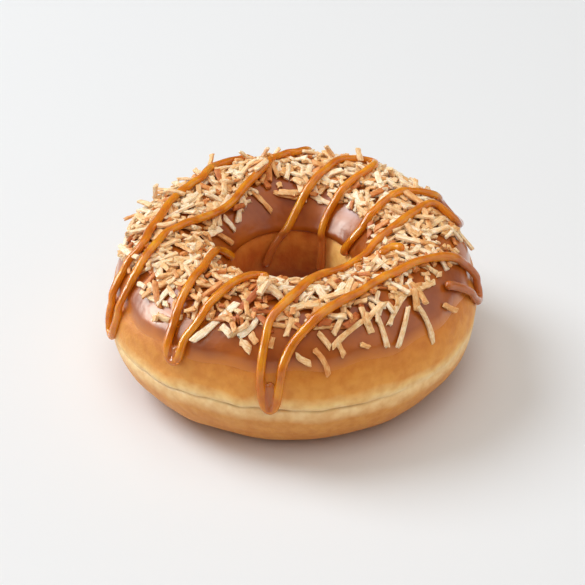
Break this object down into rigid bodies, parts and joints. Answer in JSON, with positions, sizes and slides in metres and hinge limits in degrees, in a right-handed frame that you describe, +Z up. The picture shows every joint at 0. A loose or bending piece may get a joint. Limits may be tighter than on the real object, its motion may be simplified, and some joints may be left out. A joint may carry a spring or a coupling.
{
  "type": "ring doughnut",
  "caption": "Ring doughnut with a caramel glaze over its top, toasted coconut shreds and a looping caramel drizzle.",
  "frame": {"origin": "on the plane that the doughnut rests on, under the middle of its bounding box", "axes": "+Z up through the hole, the shortest way through the doughnut; X and Y lie across the ring"},
  "size_m": [0.0956, 0.0952, 0.0424],
  "materials": {
    "dough": "fried yeast dough, golden brown with a pale band round its side, satin",
    "glaze": "milky caramel glaze, smooth and glossy",
    "caramel": "clear orange caramel sauce, wet gloss",
    "coconut": "dry shredded coconut, cream to toasted brown, matt and fibrous"
  },
  "bodies": {
    "root": {"dough_ring": "dough", "caramel_glaze": "glaze", "drizzle_left": "caramel", "drizzle_front_left": "caramel", "drizzle_hole_back": "caramel", "drizzle_front_right": "caramel", "drizzle_short": "caramel", "coconut_shred_01": "coconut", "coconut_shred_02": "coconut", "coconut_shred_03": "coconut", "coconut_shred_04": "coconut", "coconut_shred_05": "coconut", "coconut_shred_06": "coconut", "coconut_shred_07": "coconut", "coconut_shred_08": "coconut", "coconut_shred_09": "coconut", "coconut_shred_10": "coconut", "coconut_shred_11": "coconut", "coconut_shred_12": "coconut", "coconut_shred_13": "coconut", "coconut_shred_14": "coconut", "coconut_shred_15": "coconut", "coconut_shred_16": "coconut", "coconut_shred_17": "coconut", "coconut_shred_18": "coconut", "coconut_shred_19": "coconut", "coconut_shred_20": "coconut", "coconut_shred_21": "coconut", "coconut_shred_22": "coconut", "coconut_shred_23": "coconut", "coconut_shred_24": "coconut", "coconut_shred_25": "coconut", "coconut_shred_26": "coconut", "coconut_shred_27": "coconut", "coconut_shred_28": "coconut", "coconut_shred_29": "coconut", "coconut_shred_30": "coconut", "coconut_shred_31": "coconut", "coconut_shred_32": "coconut", "coconut_shred_33": "coconut", "coconut_shred_34": "coconut", "coconut_shred_35": "coconut", "coconut_shred_36": "coconut", "coconut_shred_37": "coconut", "coconut_shred_38": "coconut", "coconut_shred_39": "coconut", "coconut_shred_40": "coconut", "coconut_shred_41": "coconut", "coconut_shred_42": "coconut", "coconut_shred_43": "coconut", "coconut_shred_44": "coconut", "coconut_shred_45": "coconut", "coconut_shred_46": "coconut", "coconut_shred_47": "coconut", "coconut_shred_48": "coconut", "coconut_shred_49": "coconut", "coconut_shred_50": "coconut", "coconut_shred_51": "coconut", "coconut_shred_52": "coconut"}
  },
  "joints": []
}
